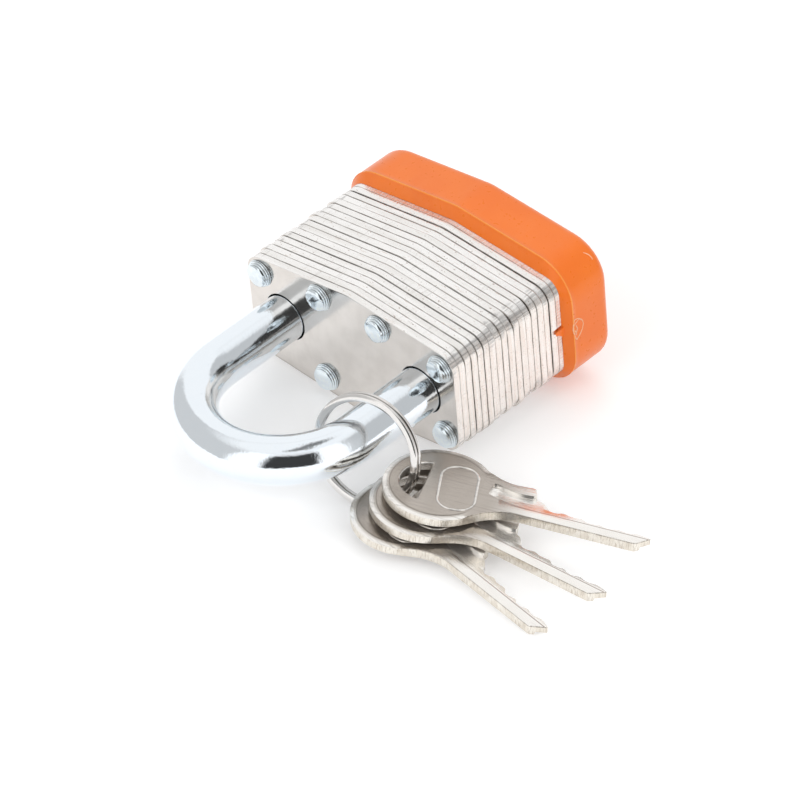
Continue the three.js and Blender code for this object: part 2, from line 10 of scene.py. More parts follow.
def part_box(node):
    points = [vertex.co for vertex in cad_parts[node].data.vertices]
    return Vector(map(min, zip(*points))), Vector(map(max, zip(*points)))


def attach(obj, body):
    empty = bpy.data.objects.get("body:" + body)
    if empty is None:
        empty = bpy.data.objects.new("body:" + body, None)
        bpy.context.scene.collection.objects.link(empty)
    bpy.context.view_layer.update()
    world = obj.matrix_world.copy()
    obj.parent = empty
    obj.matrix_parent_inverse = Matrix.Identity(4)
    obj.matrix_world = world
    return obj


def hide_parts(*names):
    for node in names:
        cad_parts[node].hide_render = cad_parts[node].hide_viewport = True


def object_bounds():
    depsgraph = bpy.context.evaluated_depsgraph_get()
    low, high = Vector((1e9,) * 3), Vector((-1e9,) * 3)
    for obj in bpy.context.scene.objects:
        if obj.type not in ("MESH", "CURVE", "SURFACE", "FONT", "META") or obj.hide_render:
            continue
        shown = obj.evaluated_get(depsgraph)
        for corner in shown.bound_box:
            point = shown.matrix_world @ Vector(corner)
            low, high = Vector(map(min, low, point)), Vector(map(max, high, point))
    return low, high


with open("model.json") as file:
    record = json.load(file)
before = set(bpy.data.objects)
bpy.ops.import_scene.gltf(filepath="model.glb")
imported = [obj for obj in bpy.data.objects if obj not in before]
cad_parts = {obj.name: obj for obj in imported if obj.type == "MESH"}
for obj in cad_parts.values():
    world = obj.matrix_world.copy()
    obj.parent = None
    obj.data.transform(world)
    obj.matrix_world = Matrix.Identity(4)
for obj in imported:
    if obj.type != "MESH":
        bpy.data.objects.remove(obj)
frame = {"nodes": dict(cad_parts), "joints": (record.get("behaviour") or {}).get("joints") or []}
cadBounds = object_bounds()

mm = 0.001
lockBody = "lock_body"
joints = {joint["name"]: joint for joint in frame["joints"]}
print("frame loaded:", len(frame["nodes"]), "nodes")


def boxCentre(node):
    low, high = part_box(node)
    return (low + high) / 2


def placed(origin, turn):
    return Matrix.Translation(origin) @ turn.to_4x4()


# The lock's own frame: x across the legs, y from the front plate to the keyway, z through the body.
body = {
    "width": 40, "endHeight": 16.6, "ridgeHeight": 20.6, "corner": 2.6, "ridgeRounding": 8,
    "pitch": 1.24, "gap": 0.08, "visiblePlates": 18, "coveredPlates": 3, "endPlate": 2.2,
    "legX": 13.25, "legRadius": 3.58, "legReach": 13.06, "plugX": -1,
}
body["slope"] = atan((body["ridgeHeight"] - body["endHeight"]) / body["width"])
body["endPlateY"] = (body["visiblePlates"] + body["coveredPlates"]) * body["pitch"]
body["stackEnd"] = body["endPlateY"] + body["endPlate"]

lockY = Vector(joints["plug_turn"]["axis"]).normalized()
lockX = Vector((1, 0, 0))
lockTurn = Matrix((lockX, lockY, lockX.cross(lockY))).transposed()
lockOrigin = boxCentre("front_lamination") - lockY * (body["pitch"] - body["gap"]) / 2 * mm
lockPlace = placed(lockOrigin, lockTurn)
toLock = lockPlace.inverted()
rivetCentres = [toLock @ boxCentre(f"rivet_{index}") / mm for index in range(1, 9)]


class Socket:
    # One output of a node. Sums and products of sockets add their Math nodes.
    def __init__(self, shader, output):
        self.shader = shader
        self.output = output

    def __add__(self, other):
        return self.shader.math("ADD", self, other)

    def __sub__(self, other):
        return self.shader.math("SUBTRACT", self, other)

    def __rsub__(self, other):
        return self.shader.math("SUBTRACT", other, self)

    def __mul__(self, other):
        return self.shader.math("MULTIPLY", self, other)

    def __pow__(self, other):
        return self.shader.math("POWER", self, other)

    def __abs__(self):
        return self.shader.math("ABSOLUTE", self)

    __radd__ = __add__
    __rmul__ = __mul__

    def between(self, low, high):
        # 0 below low, 1 above high, and smooth between
        return self.shader.node("MapRange", {"interpolation_type": "SMOOTHSTEP"}, {
            "Value": self, "From Min": low, "From Max": high,
        })

    def line(self, near, far):
        # 1 near to zero on either side, and 0 from far
        return 1 - abs(self).between(near, far)

    def band(self, start, full, end, none):
        return self.between(start, full) * (1 - self.between(end, none))


class Shader:
    # Builds one node tree. Its base is the colour so far, and tint lays another tone over it.
    def __init__(self, tree, material=None):
        self.tree = tree
        self.material = material
        self.base = None
        tree.nodes.clear()

    def node(self, kind, settings=None, sockets=None, output=0):
        made = self.tree.nodes.new("ShaderNode" + kind)
        for name, value in (settings or {}).items():
            setattr(made, name, value)
        for name, value in (sockets or {}).items():
            if isinstance(value, Socket):
                self.tree.links.new(value.output, made.inputs[name])
            else:
                made.inputs[name].default_value = value
        return Socket(self, made.outputs[output]) if made.outputs else None

    def math(self, operation, *inputs):
        return self.node("Math", {"operation": operation}, dict(enumerate(inputs)))

    def place(self, stretch=(1, 1, 1)):
        # The piece's own coordinates in millimetres, stretched for streaks
        own = self.node("TexCoord", output="Object")
        scale = tuple(value / mm for value in stretch)
        return self.node("VectorMath", {"operation": "MULTIPLY"}, {0: own, 1: scale})

    def axis(self, name):
        return self.node("SeparateXYZ", sockets={0: self.place()}, output=name)

    def noise(self, scale, detail=2, stretch=(1, 1, 1), roughness=0.5):
        return self.node("TexNoise", sockets={
            "Vector": self.place(stretch), "Scale": scale, "Detail": detail, "Roughness": roughness,
        })

    def mix(self, factor, *tones):
        first, second = (tone if isinstance(tone, Socket) else (*tone, 1) for tone in tones)
        return self.node("Mix", {"data_type": "RGBA"}, {0: factor, 6: first, 7: second}, 2)

    def twoTone(self, value, low, high, first, second):
        self.base = self.mix(value.between(low, high), first, second)

    def tint(self, factor, tone):
        self.base = self.mix(factor, self.base, tone)

    def bump(self, height, distance, strength):
        return self.node("Bump", None, {
            "Height": height, "Distance": distance * mm, "Strength": strength,
        })

    def surface(self, sockets):
        shade = self.node("BsdfPrincipled", None, {"Base Color": self.base, **sockets})
        self.node("OutputMaterial", None, {"Surface": shade})
        return self.material

    def metal(self, roughness, bump, metallic=1.0):
        return self.surface({"Metallic": metallic, "Roughness": roughness, "Normal": bump})


def newShader(name):
    material = bpy.data.materials.new(name)
    material.use_nodes = True
    return Shader(material.node_tree, material)


def neighbours(points):
    # Each point of a closed loop between the one before and the one after
    return zip(points[-1:] + points[:-1], points, points[1:] + points[:1])


class Form:
    # A mesh in the making, in millimetres
    def __init__(self):
        self.bm = bmesh.new()

    def skin(self, rows, closed=True):
        made = [[self.bm.verts.new(point) for point in row] for row in rows]
        for first, second in zip(made, made[1:]):
            count = len(first)
            for i in range(count if closed else count - 1):
                j = (i + 1) % count
                self.bm.faces.new((first[i], first[j], second[j], second[i]))
        return made

    def fan(self, loop, centre):
        middle = self.bm.verts.new(centre)
        for _, vert, after in neighbours(loop):
            self.bm.faces.new((vert, after, middle))

    def fill(self, *loops):
        edges = []
        for loop in loops:
            for _, *pair in neighbours(loop):
                edges.append(self.bm.edges.get(pair) or self.bm.edges.new(pair))
        bmesh.ops.triangle_fill(self.bm, use_beauty=True, edges=edges)

    def solid(self, rows):
        # A skin with both ends filled
        made = self.skin(rows)
        self.fill(made[0])
        self.fill(made[-1])
        return self

    def mesh(self, name, merge=1e-5):
        bmesh.ops.remove_doubles(self.bm, verts=self.bm.verts, dist=merge)
        bmesh.ops.recalc_face_normals(self.bm, faces=self.bm.faces)
        bmesh.ops.scale(self.bm, vec=(mm, mm, mm), verts=self.bm.verts)
        made = bpy.data.meshes.new(name)
        self.bm.to_mesh(made)
        self.bm.free()
        return made


def addObject(name, data):
    made = bpy.data.objects.new(name, data)
    bpy.context.scene.collection.objects.link(made)
    return made


def addPiece(mesh, materials, replaced=(), sharp=35, onBody=lockBody, place=lockPlace):
    # A piece takes its name from the node that it replaces
    mesh.shade_smooth()
    mesh.set_sharp_from_angle(angle=radians(sharp))
    piece = addObject(replaced[0] + "_piece" if replaced else mesh.name, mesh)
    piece.matrix_world = place
    if not mesh.materials:
        for material in materials:
            mesh.materials.append(material)
    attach(piece, onBody)
    if replaced:
        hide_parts(*replaced)


def offsetLoop(points, distance):
    # Moves a counterclockwise outline outwards, or inwards by a negative distance
    sharpest = 0.3  # keeps the points of very sharp corners from running away
    moved = []
    for last, point, following in neighbours(points):
        before, after = (point - last).normalized(), (following - point).normalized()
        first, second = Vector((before.y, -before.x)), Vector((after.y, -after.x))
        moved.append(point + (first + second) * (distance / max(sharpest, 1 + first.dot(second))))
    return moved


def roundedLoop(corners):
    # Each corner is x, z, radius, steps of its arc, steps of the straight run after it
    arcs = []
    for last, (x, z, radius, arcSteps, _), following in neighbours(corners):
        corner = Vector((x, z))
        before, after = ((Vector(other[:2]) - corner).normalized() for other in (last, following))
        half = before.angle(after) / 2
        centre = corner + (before + after).normalized() * (radius / sin(half))
        start = corner + before * (radius / tan(half)) - centre
        end = corner + after * (radius / tan(half)) - centre
        sweep = atan2(end.y, end.x) - atan2(start.y, start.x)
        sweep = (sweep + pi) % (2 * pi) - pi
        turns = [Matrix.Rotation(sweep * step / arcSteps, 2) for step in range(arcSteps + 1)]
        arcs.append([centre + turn @ start for turn in turns])
    points = []
    for i, arc in enumerate(arcs):
        runSteps, following = corners[i][4], arcs[(i + 1) % len(arcs)][0]
        points += arc + [arc[-1].lerp(following, step / runSteps) for step in range(1, runSteps)]
    return points


def curve(start, control, end, steps):
    times = [step / steps for step in range(steps + 1)]
    return [start * (1 - t) ** 2 + control * 2 * t * (1 - t) + end * t * t for t in times]


def softened(points, radius, steps):
    # Rounds the sharp corners of an outline a little
    nearlyStraight, shortest, share = 0.3, 0.02, 0.4  # radians, millimetres, part of a side
    made = []
    for last, point, following in neighbours(points):
        before, after = last - point, following - point
        reach = min(radius, before.length * share, after.length * share)
        if pi - before.angle(after) < nearlyStraight or reach < shortest:
            made.append(point)
        else:
            start, end = point + before.normalized() * reach, point + after.normalized() * reach
            made += curve(start, point, end, steps)
    return made


def bodyLoop(wall=0, sideWall=0, corner=body["corner"], cornerSteps=9, sideSteps=14, slopeSteps=26):
    half = body["width"] / 2 + sideWall
    ridge = body["ridgeHeight"] / 2 + wall / cos(body["slope"])
    end = ridge - half * tan(body["slope"])
    side = (corner, cornerSteps, sideSteps)
    slope = (corner, cornerSteps, slopeSteps)
    top = (body["ridgeRounding"], 4, slopeSteps)
    return roundedLoop([
        (half, -end, *side), (half, end, *slope), (0, ridge, *top),
        (-half, end, *side), (-half, -end, *slope), (0, -ridge, *top),
    ])


def circleLoop(radius, steps, x=0, z=0):
    angles = [2 * pi * step / steps for step in range(steps)]
    return [Vector((x + radius * cos(a), z + radius * sin(a))) for a in angles]


def atDepth(points, y):
    return [(point.x, y, point.y) for point in points]


def profiled(outline, section):
    # Copies of an outline, one for each outward offset and depth
    return [atDepth(offsetLoop(outline, out), y) for out, y in section]


def quarter(radius, steps):
    # Inset and depth along a rounded edge, from the face to the side
    angles = [pi / 2 * step / steps for step in range(steps + 1)]
    return [(radius * (1 - sin(a)), radius * (1 - cos(a))) for a in angles]


def step01(value, low, high):
    share = min(1, max(0, (value - low) / (high - low)))
    return share * share * (3 - 2 * share)


# Laminations: punched plates, no two quite alike, with uneven openings between them
plateLooks = {
    "seed": 11, "shift": 0.05, "grow": 0.03, "edge": (0.03, 0.08), "opening": (0.03, 0.09), "jitter": 0.05,
    "wide": {4: 0.13, 15: 0.14}, "corner": (2.1, 3.1), "fracture": (0.5, 0.75), "step": 0.012, "shade": 0.13,
    "capInset": 0.15, "legBore": 3.77, "rivetBore": 1.3, "plugBore": 5.1,
    "legEdge": 0.05, "rivetEdge": 0.02, "plugEdge": 0.2, "innerEdge": 0.01,
    "wave": 0.002, "ripple": 0.03, "waveScale": 0.35, "rippleScale": 0.8,
    "tear": 0.07, "tearScale": 1.1, "tearLip": 0.05,
    # Where the corners get a painted dark reflection, and where the ends get a painted warm tint
    "cornerReflection": {"across": (17.5, 18.8), "up": (5.4, 6.8)}, "side": (18.9, 19.6),
    # Where the front plate gets painted shade low down
    "lowerShade": [(2.3, 0), (0.35, 0.1)],
}


def holeLoops(node):
    # The openings of a CAD plate, as outlines in the lock's x and z
    bm = bmesh.new()
    bm.from_mesh(frame["nodes"][node].data)
    bmesh.ops.transform(bm, matrix=toLock, verts=bm.verts)
    bmesh.ops.scale(bm, vec=(1 / mm, 1 / mm, 1 / mm), verts=bm.verts)
    bmesh.ops.remove_doubles(bm, verts=bm.verts, dist=1e-3)
    bm.normal_update()
    caps = {face for face in bm.faces if face.normal.y < -0.99}  # the plate's front face
    around = {}
    for edge in bm.edges:
        if sum(face in caps for face in edge.link_faces) == 1:
            for vert in edge.verts:
                around.setdefault(vert, []).append(edge.other_vert(vert))
    loops, seen = [], set()
    for start in around:
        loop, previous, vert = [], None, start
        while vert not in seen:
            seen.add(vert)
            loop.append(Vector((vert.co.x, vert.co.z)))
            previous, vert = vert, [other for other in around[vert] if other is not previous][0]
        if loop:
            loops.append(loop)
    bm.free()
    loops.sort(key=lambda loop: max(point.x for point in loop) - min(point.x for point in loop))
    for loop in loops:
        if sum(loop[i - 1].cross(loop[i]) for i in range(len(loop))) < 0:
            loop.reverse()
    return loops[:-1]


def plateForm(outline, front, back, edges, holes, fracture, index):
    looks = plateLooks
    step, shade = looks["step"], looks["shade"]
    ends = [[(edge + looks["capInset"], 0)] + quarter(edge, 3) for edge in edges]
    rows = profiled(outline, [(-inset - step, front + depth) for inset, depth in ends[0]])
    rows.append(atDepth(offsetLoop(outline, -step), front + shade))
    torn = front + fracture * (back - front)
    scale = looks["tearScale"]
    tear = [looks["tear"] * noise.noise(Vector((p.x * scale, p.y * scale, index * 3.1))) for p in outline]
    rows.append([(p.x, torn + t, p.y) for p, t in zip(offsetLoop(outline, -step), tear)])
    rows.append([(p.x, torn + t + looks["tearLip"], p.y) for p, t in zip(outline, tear)])
    rows.append(atDepth(outline, back - shade))
    rows += profiled(outline, [(-inset, back - depth) for inset, depth in ends[1][::-1]])
    for row in rows:
        for i, (x, y, z) in enumerate(row):
            place = Vector((x * looks["waveScale"], index * 7.3, z * looks["waveScale"]))
            swell = 1 + looks["wave"] * noise.noise(place)
            lift = looks["ripple"] * noise.noise(place * looks["rippleScale"]) if index else 0
            row[i] = (x * swell, y + lift, z * swell)  # each plate differs a little
    form = Form()
    made = form.skin(rows)
    walls = []
    for hole, edge in holes:
        section = [(edge + 0.1, front), (edge, front), (0, front + edge), (0, back - edge), (edge, back)]
        walls.append(form.skin(profiled(hole, section)))
    for end in (0, -1):
        form.fill(made[end], *(wall[end] for wall in walls))
    return form


def shadeEdges(mesh, front, back):
    # Marks how near each point of a plate's rim is to an opening, where shade is painted
    reach = plateLooks["shade"]
    depths = [vert.co.y / mm for vert in mesh.vertices]
    if front < 0.2:  # no plate stands before the first
        front = -reach
    tones = [1 - step01(min(y - front, back - y), 0, reach) for y in depths]
    mesh.attributes.new("opening", "FLOAT", "POINT").data.foreach_set("value", tones)


def laminationMaterial():
    shader = newShader("laminationEdges")
    opening = shader.node("Attribute", {"attribute_name": "opening"}, output="Fac")
    offset = shader.noise(0.7, 1, (0.02, 1, 0.02)) * 5 - 2.5
    across, up = abs(shader.axis("X")), abs(shader.axis("Z"))
    cornerReflection = plateLooks["cornerReflection"]
    corner = (across + offset).between(*cornerReflection["across"]) * (up - offset).between(*cornerReflection["up"])
    side = across.between(*plateLooks["side"])
    sideStreaks = shader.noise(1.3, 3, (1, 2.2, 0.08)).between(0.4, 0.65)
    streaks = shader.noise(2.4, 2, (1, 0.06, 1))
    marks = shader.noise(1.6, 3, (1, 0.12, 1))
    grain = shader.noise(3.5, 2, (0.7, 0.7, 0.7))
    rust = shader.noise(0.9, 5, (0.35, 2, 1), 0.7).between(0.6, 0.7)
    specks = shader.noise(3.2, 3, (0.6, 1, 1), 0.6).between(0.65, 0.7)
    shadeAndGrime = shader.noise(0.5, 3, (1, 0.3, 1)).between(0.3, 0.6)
    tone = shader.noise(0.35, 3, (0.25, 2.2, 1))
    shader.twoTone(tone, 0.35, 0.7, (0.95, 0.935, 0.92), (0.87, 0.85, 0.825))
    shader.tint(marks.between(0.58, 0.75) * 0.3, (0.6, 0.57, 0.54))
    # Painted warm tint on the ends, standing in for the warmer light they catch, streaked upright
    shader.tint(side * (0.4 + sideStreaks * 0.45), (0.82, 0.74, 0.68))
    shader.tint(rust * 0.4, (0.55, 0.38, 0.26))
    shader.tint(specks * 0.75, (0.36, 0.26, 0.2))
    # Painted shade in the openings between the plates, made uneven by grime
    shader.tint(opening * (0.3 + shadeAndGrime * 0.5), (0.22, 0.19, 0.165))
    # A painted dark reflection on each plate's rounded corner, shifted a little from plate to plate
    shader.tint(corner * streaks.between(0.42, 0.6) * 0.6, (0.4, 0.39, 0.38))
    roughness = 0.19 + shader.noise(0.8, 3) * 0.14
    return shader.metal(roughness, shader.bump(streaks * 0.9 + grain * 0.1, 0.075, 1.0))


def frontPlateMaterial():
    shader = newShader("satinPlate")
    blotch = shader.noise(0.28, 4)
    shader.twoTone(blotch, 0.35, 0.7, (0.785, 0.745, 0.705), (0.715, 0.675, 0.635))
    stain = shader.noise(0.9, 5, roughness=0.7).between(0.66, 0.74)
    shader.tint(stain * 0.25, (0.5, 0.4, 0.34))
    # Painted shade towards the lower slope of the outline, and more along its very edge, standing in for the
    # floor's shadow there
    lower = abs(shader.axis("X")) * tan(body["slope"]) - shader.axis("Z")
    rim = body["ridgeHeight"] / 2
    wide, narrow = (lower.between(rim - far, rim - near) for far, near in plateLooks["lowerShade"])
    shader.tint(wide * 0.15 + narrow * 0.4, (0.3, 0.26, 0.23))
    return shader.metal(0.1 + blotch * 0.1, shader.bump(shader.noise(6, 2, (1, 1, 0.12)), 0.005, 0.3))


def makePlates():
    looks = plateLooks
    steels = (laminationMaterial(), frontPlateMaterial())
    draw = random.Random(looks["seed"])
    count = body["visiblePlates"] + body["coveredPlates"]
    plugHole = (circleLoop(looks["plugBore"], 64, body["plugX"]), looks["plugEdge"])
    legs = [circleLoop(looks["legBore"], 64, side * body["legX"]) for side in (-1, 1)]
    joint = 0
    for index in range(count + 1):
        last = index == count
        name = "end_plate" if last else f"lamination_{index + 1:02d}" if index else "front_lamination"
        front = joint
        covered = index >= body["visiblePlates"] - 1
        joint = (index + 1) * body["pitch"] + draw.uniform(-1, 1) * (0 if covered else looks["jitter"])
        opening = looks["wide"].get(index, draw.uniform(*looks["opening"]))
        back = body["stackEnd"] if last else joint - opening
        grow = draw.uniform(-1, 1) * looks["grow"]
        shift = Vector((draw.uniform(-1, 1), draw.uniform(-1, 1))) * looks["shift"]
        if covered:
            grow, shift = 0, Vector((0, 0))
        corner = body["corner"] if covered else draw.uniform(*looks["corner"])
        outline = [point + shift for point in offsetLoop(bodyLoop(corner=corner), grow)]
        if index in (0, count):
            steps = 16 if last else 24
            bores = [circleLoop(looks["rivetBore"], steps, r.x, r.z) for r in rivetCentres]
            holes = [(bore, looks["rivetEdge"]) for bore in bores]
            holes = holes + [plugHole] if last else [(leg, looks["legEdge"]) for leg in legs] + holes
        else:
            holes = [(loop, looks["innerEdge"]) for loop in holeLoops(name)]
        edges = (draw.uniform(*looks["edge"]), draw.uniform(*looks["edge"]))
        form = plateForm(outline, front, back, edges, holes, draw.uniform(*looks["fracture"]), index)
        mesh = form.mesh(name)
        shadeEdges(mesh, front, back)
        for face in mesh.polygons:
            face.material_index = 1 if abs(face.normal.y) > 0.9 else 0
        addPiece(mesh, steels, [name])


# Rivets: low caps over a ridged side, spread at the keyway end
rivetLooks = {
    "seed": 3, "valleys": (-0.79, -0.5, -0.19, -0.03), "valley": (0.02, 0.07), "sides": 56, "cap": -0.95,
    "tilt": 0.03, "lump": 0.06, "dent": 0.04, "dentPlace": 0.8, "dentRadius": 0.38,
    "head": [
        (0, -1.3), (0.3, -1.295), (0.6, -1.275), (0.9, -1.24), (1.2, -1.18), (1.45, -1.11), (1.63, -1.03),
        (1.73, -0.95), (1.77, -0.88), (1.74, -0.82), (1.64, -0.79), (1.66, -0.75), (1.82, -0.71),
        (1.91, -0.64), (1.92, -0.57), (1.85, -0.52), (1.78, -0.49), (1.81, -0.45), (1.98, -0.41),
        (2.06, -0.34), (2.07, -0.27), (1.98, -0.22), (1.92, -0.19), (1.96, -0.16), (2.09, -0.13),
        (2.14, -0.08), (2.12, -0.02), (1.2, -0.02),
    ],
    "tail": [(1.2, 0.03), (2.12, 0.03), (2.1, 0.3), (1.9, 0.6), (1.4, 0.78), (0.7, 0.85), (0, 0.87)],
}


def zincMaterial():
    shader = newShader("rivetZinc")
    lumps = shader.noise(0.9, 2)
    fine = shader.noise(5, 3)
    shader.twoTone(lumps, 0.3, 0.7, (0.86, 0.92, 0.95), (0.74, 0.81, 0.85))
    # Painted shade in the valleys between the side's ridges
    depth = shader.axis("Y")
    for valley in rivetLooks["valleys"]:
        shader.tint((depth - valley).line(*rivetLooks["valley"]) * 0.75, (0.12, 0.125, 0.13))
    return shader.metal(0.12 + fine * 0.12, shader.bump(lumps * 0.85 + fine * 0.15, 0.07, 0.4))


def makeRivets():
    looks = rivetLooks
    zinc = zincMaterial()
    draw = random.Random(looks["seed"])
    profile = looks["head"] + [(r, body["stackEnd"] + y) for r, y in looks["tail"]]
    for index, centre in enumerate(rivetCentres, 1):
        tilt = (draw.uniform(-looks["tilt"], looks["tilt"]), draw.uniform(-looks["tilt"], looks["tilt"]))
        start = draw.uniform(0, 50)
        reach = looks["dentPlace"]
        dent = (draw.uniform(-reach, reach), draw.uniform(-reach, reach))
        rows = []
        for radius, y in profile[1:-1]:
            row = []
            for p in circleLoop(radius, looks["sides"]):
                depth = y
                if y < looks["cap"]:
                    lump = noise.noise(Vector((p.x * 0.9 + start, p.y * 0.9, index)))
                    punch = hypot(p.x - dent[0], p.y - dent[1]) / looks["dentRadius"]
                    depth += looks["lump"] * lump + p.x * tilt[0] + p.y * tilt[1]
                    depth += looks["dent"] * exp(-punch * punch)
                row.append((centre.x + p.x, depth, centre.z + p.y))
            rows.append(row)
        form = Form()
        made = form.skin(rows)
        for end in (0, -1):
            form.fan(made[end], (centre.x, profile[end][1], centre.z))
        addPiece(form.mesh("rivet"), [zinc], [f"rivet_{index}"], 50)


# Bumper: a moulded cap with a sloping front band, a fine bead along it, and soft rear edges
bumper = {
    "wall": 1.95, "sideWall": 1.5, "corner": 6.2, "rimY": 21.92, "depth": 8.8, "edge": 1.6,
    "clearance": 0.03, "lip": 0.12, "slope": 0.85, "slopeSteps": (0.35, 0.65, 0.85, 0.93),
    "bead": [(-0.06, -0.05), (0.03, 0.0), (0.1, 0.07), (0.11, 0.14), (0.05, 0.21), (0, 0.27), (0, 0.9)],
    "beadEnd": 0.27, "keyhole": 6.4, "keyholeEdge": 0.5, "cavityEnd": 29.34,
    "holds": (0.5, 0.4, 0.3),  # how far the next loops stand from the rounded edges
}


def vinylMaterial(name, first, second):
    shader = newShader(name)
    soft = shader.noise(0.16, 2)
    fine = shader.noise(1.6, 3)
    rubbed = shader.noise(0.5, 4, (1, 0.4, 1), 0.6).between(0.5, 0.8)
    shader.twoTone(soft, 0.3, 0.7, first, second)
    shader.tint(rubbed * 0.12, (0.92, 0.34, 0.12))
    return shader.surface({
        "Roughness": 0.24 + fine * 0.1, "IOR": 1.5,
        "Normal": shader.bump(soft * 0.95 + fine * 0.05, 0.12, 0.4),
    })


orangeVinyl = vinylMaterial("orangeVinyl", (0.9, 0.185, 0.006), (0.87, 0.168, 0.004))


def makeBumper():
    full, lip, slope = bumper["wall"], bumper["lip"], bumper["slope"]
    edge, hole, keyhole = bumper["edge"], bumper["keyholeEdge"], bumper["keyhole"]
    rim, inner, cavityEnd = bumper["rimY"], bumper["clearance"], bumper["cavityEnd"]
    rear = rim + bumper["depth"]
    slopeEnd = rim + slope
    sideHold, rearHold, holeHold = bumper["holds"]
    centre = Vector((body["plugX"], 0))

    def outline(wall, inset=0):
        share = wall / full
        corner = body["corner"] + (bumper["corner"] - body["corner"]) * share
        loop = bodyLoop(wall, bumper["sideWall"] * share, corner)
        return offsetLoop(loop, -inset) if inset else loop

    def circle(radius):
        return [centre + (point - centre).normalized() * radius for point in outline(full)]

    section = [(circle(keyhole), cavityEnd), (outline(inner), cavityEnd), (outline(inner), rim + lip)]
    section += [(outline(inner + lip - inset), rim + depth) for inset, depth in quarter(lip, 3)[::-1]]
    for share in bumper["slopeSteps"]:
        section.append((outline(inner + lip + (full - inner - lip) * share), rim + slope * share))
    section += [(outline(full + proud), slopeEnd + y) for proud, y in bumper["bead"]]
    section.append((outline(full), rear - edge - sideHold))
    section += [(outline(full, inset), rear - depth) for inset, depth in quarter(edge, 7)[::-1]]
    section += [(outline(full, edge + rearHold), rear), (circle(keyhole + hole + holeHold), rear)]
    section += [(circle(keyhole + inset), rear - depth) for inset, depth in quarter(hole, 4)]
    rows = [atDepth(loop, y) for loop, y in section]
    form = Form()
    form.skin(rows + [rows[0]])
    mesh = form.mesh("bumper")
    for face in mesh.polygons:
        face.material_index = 1 if 0 < face.center.y / mm - slopeEnd < bumper["beadEnd"] else 0
    # The bead gets a lighter, yellower vinyl, a painted highlight along the band's edge
    vinyls = (orangeVinyl, vinylMaterial("beadHighlight", (0.93, 0.33, 0.055), (0.92, 0.28, 0.035)))
    addPiece(mesh, vinyls, ["bumper"], 40)


# Moulding flash: a stray drip over the last laminations, the outline of a peeled scrap, and a scratch
flash = {
    "drip": [
        (22.3, 0.6), (21.8, 0.55), (21.4, 0.45), (21.05, 0.52), (20.72, 0.5), (20.55, 0.3), (20.6, 0.1),
        (20.85, 0.06), (21.15, -0.1), (21.5, -0.38), (21.9, -0.7), (22.3, -0.85),
    ],
    "dripSection": [(0, 19.9), (0, 20.135), (-0.06, 20.24), (-0.16, 20.3)],  # outward offset and x
    "scarSide": 21.5, "scarRadius": 0.09, "sides": 8,
    "scar": [
        [(23.0, -0.9), (22.72, 0.3), (22.85, 1.2), (23.1, 1.95), (23.8, 1.8), (24.4, 1.3), (24.75, 0.85),
         (24.85, 0.2), (24.6, -0.5), (24.0, -1.2), (23.35, -1.7), (23.1, -1.3), (23.03, -0.9)],
        [(22.8, 0.9), (23.4, 1.35), (24.1, 1.55)],
        [(22.75, 0.2), (23.2, -0.1), (23.3, -0.9)],
        [(23.3, 0.9), (23.6, 0.2), (23.3, -0.5)],
    ],
    "scratchRadius": 0.07,
    "scratch": [
        (18.94, 28.4, 9.5), (19.18, 28.65, 9.31), (19.49, 28.92, 9.06), (19.82, 29.05, 8.72),
        (20.1, 29.06, 8.4),
    ],
}


def tubeRows(points, radius, sides, seed, outward):
    # A thin round bead along points on a surface whose outward direction is given
    uneven, tapered = 0.5, 0.35
    turns = [2 * pi * step / sides for step in range(sides)]
    rows = []
    for i, point in enumerate(points):
        along = (points[min(i + 1, len(points) - 1)] - points[max(i - 1, 0)]).normalized()
        across = along.cross(outward).normalized()
        size = radius * (1 + uneven * noise.noise(point * 3 + Vector((seed, 0, 0))))
        size *= tapered if i in (0, len(points) - 1) else 1
        rows.append([point + outward * (size * cos(t)) + across * (size * sin(t)) for t in turns])
    return rows


def finer(points, steps):
    made = [a.lerp(b, step / steps) for a, b in zip(points, points[1:]) for step in range(steps)]
    return made + [points[-1]]


def makeFlash():
    drip = softened([Vector(point) for point in flash["drip"]][::-1], 0.25, 3)
    rows = [[(x, p.x, p.y) for p in offsetLoop(drip, out)] for out, x in flash["dripSection"]]
    addPiece(Form().solid(rows).mesh("moulding_drip"), [orangeVinyl], sharp=50)
    side, corner = Vector((1, 0, 0)), Vector((1, 0, 1)).normalized()
    scar = [[(flash["scarSide"], y, z) for y, z in line] for line in flash["scar"]]
    threads = [(line, flash["scarRadius"], side) for line in scar]
    threads.append((flash["scratch"], flash["scratchRadius"], corner))
    form = Form()
    for index, (line, radius, outward) in enumerate(threads):
        points = finer([Vector(point) for point in line], 4)
        form.solid(tubeRows(points, radius, flash["sides"], index, outward))
    pale = vinylMaterial("paleFlash", (0.92, 0.56, 0.36), (0.9, 0.46, 0.25))
    addPiece(form.mesh("moulding_flash", 1e-6), [pale], sharp=50)


# Shackle: bright bar with the dogs' notches, the long leg's neck and its collar
shackle = {
    "toeDepth": 9.3, "chamfer": 0.6, "notch": (4.71, 7.67), "notchDepth": 1.5, "neck": (14.71, 17.67),
    "heelDepth": 19.27, "heelEdge": 0.3, "sides": 72, "bendSteps": 96,
}


def chromeMaterial():
    shader = newShader("shackleChrome")
    peel = shader.noise(0.55, 2)
    ripple = shader.noise(2.6, 3, roughness=0.65)
    fine = shader.noise(7, 3, roughness=0.65)
    pits = shader.noise(3.5, 2).between(0.72, 0.78)
    shader.base = shader.mix(peel, (0.85, 0.905, 0.955), (0.88, 0.925, 0.965))
    shader.tint(pits * 0.5, (0.5, 0.54, 0.6))
    height = peel * 0.75 + ripple * 0.42 + fine * 0.08 + pits * -0.05
    return shader.metal(0.03 + fine.between(0.45, 0.9) * 0.07, shader.bump(height, 0.1, 0.3))


